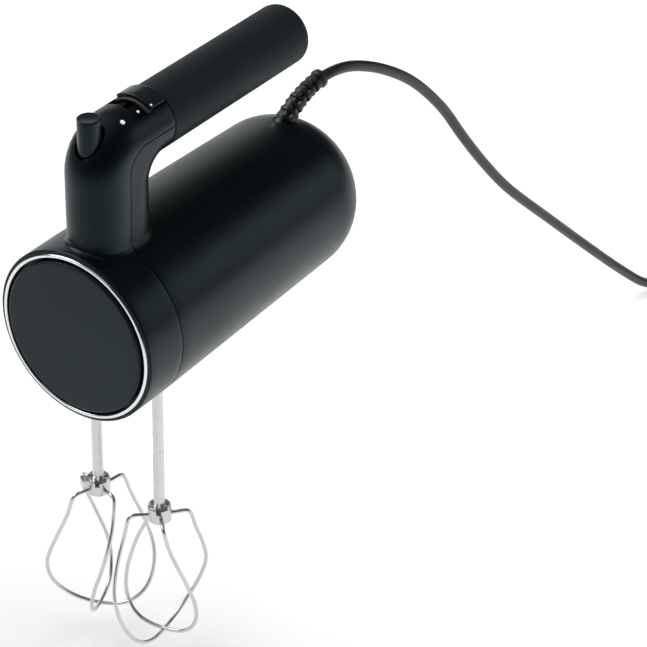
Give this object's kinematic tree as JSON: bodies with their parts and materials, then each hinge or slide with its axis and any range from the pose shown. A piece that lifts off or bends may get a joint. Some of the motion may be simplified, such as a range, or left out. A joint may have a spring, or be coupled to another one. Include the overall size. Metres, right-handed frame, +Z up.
{
  "type": "hand mixer",
  "caption": "Hand-held electric food mixer: round bullet-shaped body, arched stem handle with thumb slider and eject button, two wire beaters, power cord with plug.",
  "frame": {"origin": "middle of the straight grip, on its axis, where a hand or a holder takes it", "axes": "+Y along the grip towards the back of the mixer, where the cord leaves; +Z up; the beaters hang along -Z; -Y is the flat front"},
  "size_m": [0.2091, 0.6394, 0.3517],
  "materials": {
    "black_shell": "satin black moulding",
    "grip_black": "matte black soft-touch",
    "disc_grey": "satin charcoal",
    "ring_chrome": "bright chrome",
    "slider_grey": "satin dark grey",
    "print_white": "printed white",
    "inner_plastic": "natural engineering plastic",
    "switch_plastic": "moulded",
    "board_green": "laminate",
    "frame_steel": "plain steel",
    "shaft_steel": "ground steel",
    "beater_steel": "polished stainless steel",
    "laminations": "stacked steel sheet",
    "copper": "enamelled copper",
    "bronze": "sintered bronze",
    "brass_parts": "brass",
    "carbon": "graphite",
    "cord_black": "flexible black cover",
    "wire_brown": "wire insulation",
    "pin_metal": "nickel plated"
  },
  "bodies": {
    "housing": {"front_housing": "black_shell", "main_shell": "black_shell", "chrome_ring": "ring_chrome", "front_disc": "disc_grey", "grip_core": "inner_plastic", "grip_sleeve": "grip_black", "slider_track": "black_shell", "speed_marks": "print_white", "speed_switch": "switch_plastic", "control_board": "board_green", "suppressor_capacitor": "brass_parts", "suppressor_choke": "copper", "eject_spring": "frame_steel", "gearbox_frame": "frame_steel", "spindle_bushings": "bronze", "gearbox_screws": "frame_steel", "socket_collars": "black_shell", "front_bearing": "bronze", "middle_bearing": "bronze", "rear_bearing": "bronze", "stator_core": "laminations", "field_coils": "copper", "rear_bracket": "frame_steel", "brush_holders": "brass_parts", "carbon_brushes": "carbon", "brush_springs": "frame_steel", "motor_screws": "frame_steel", "housing_screws": "frame_steel", "cable_clamp": "inner_plastic", "supply_wires": "wire_brown", "strain_relief": "cord_black", "power_cord": "cord_black", "cord_coil": "cord_black", "coil_tie": "cord_black", "plug_body": "cord_black", "plug_pins": "pin_metal"},
    "slider": {"speed_slider": "slider_grey", "slider_mark": "print_white"},
    "ejector": {"eject_button": "black_shell", "eject_rod": "shaft_steel", "eject_yoke": "inner_plastic"},
    "armature": {"armature_shaft": "shaft_steel", "worm": "shaft_steel", "cooling_fan": "inner_plastic", "armature_core": "laminations", "armature_windings": "copper", "commutator": "copper"},
    "drive_left": {"spindle_left": "shaft_steel", "worm_gear_left": "inner_plastic"},
    "drive_right": {"spindle_right": "shaft_steel", "worm_gear_right": "inner_plastic"},
    "pin_left": {"ejector_pin_left": "shaft_steel"},
    "pin_right": {"ejector_pin_right": "shaft_steel"},
    "beater_left": {"beater_shaft_left": "beater_steel", "beater_hub_left": "beater_steel", "beater_wires_left": "beater_steel"},
    "beater_right": {"beater_shaft_right": "beater_steel", "beater_hub_right": "beater_steel", "beater_wires_right": "beater_steel"}
  },
  "joints": [
    {"name": "speed_slide", "type": "slide", "parent": "housing", "child": "slider", "axis": [0, -1, 0], "range_m": [0, 0.008]},
    {"name": "eject_press", "type": "slide", "parent": "housing", "child": "ejector", "axis": [0, 0, -1], "range_m": [0, 0.006], "stiffness_N_per_m": 700, "springref_m": -0.005, "deforming": ["eject_spring"]},
    {"name": "armature_spin", "type": "hinge", "parent": "housing", "child": "armature", "pos_m": [0, -0.033, -0.1005], "axis": [0, 1, 0], "continuous": true},
    {"name": "spindle_left_spin", "type": "hinge", "parent": "housing", "child": "drive_left", "pos_m": [-0.0215, -0.0844, -0.1005], "axis": [0, 0, 1], "continuous": true},
    {"name": "spindle_right_spin", "type": "hinge", "parent": "housing", "child": "drive_right", "pos_m": [0.0215, -0.0844, -0.1005], "axis": [0, 0, 1], "continuous": true},
    {"name": "pin_left_push", "type": "slide", "parent": "drive_left", "child": "pin_left", "axis": [0, 0, -1], "range_m": [0, 0.006]},
    {"name": "pin_right_push", "type": "slide", "parent": "drive_right", "child": "pin_right", "axis": [0, 0, -1], "range_m": [0, 0.006]},
    {"name": "beater_left_pull", "type": "slide", "parent": "pin_left", "child": "beater_left", "axis": [0, 0, -1], "range_m": [0, 0.045]},
    {"name": "beater_right_pull", "type": "slide", "parent": "pin_right", "child": "beater_right", "axis": [0, 0, -1], "range_m": [0, 0.045]}
  ],
  "couplings": [
    {"joint": "spindle_left_spin", "follows": "armature_spin", "ratio": -0.041667},
    {"joint": "spindle_right_spin", "follows": "armature_spin", "ratio": 0.041667},
    {"joint": "pin_left_push", "follows": "eject_press", "ratio": 1},
    {"joint": "pin_right_push", "follows": "eject_press", "ratio": 1}
  ]
}
